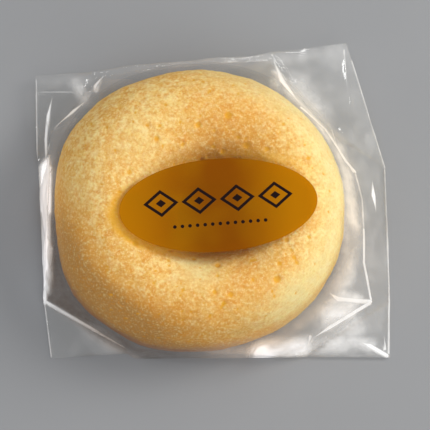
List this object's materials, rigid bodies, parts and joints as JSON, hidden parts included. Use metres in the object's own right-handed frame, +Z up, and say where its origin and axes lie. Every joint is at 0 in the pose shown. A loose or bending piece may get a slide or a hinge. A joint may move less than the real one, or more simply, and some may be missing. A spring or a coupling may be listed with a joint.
{
  "type": "cheese doughnut",
  "caption": "Round baked cheese doughnut sealed in a clear side-folded film bag, lying flat, with an oval sticker over its covered hole.",
  "frame": {"origin": "centre of the pack's bounding box at the level that it rests on", "axes": "+X to the right along the bag's bottom seam, +Y towards the heat seal at the top of the bag, +Z up out of the labelled face"},
  "size_m": [0.0954, 0.0852, 0.0283],
  "materials": {
    "film": "clear glossy film",
    "label": "satin translucent amber sticker",
    "crumb": "matte baked crumb"
  },
  "bodies": {
    "root": {"bag": "film", "label": "label"}
  },
  "joints": []
}
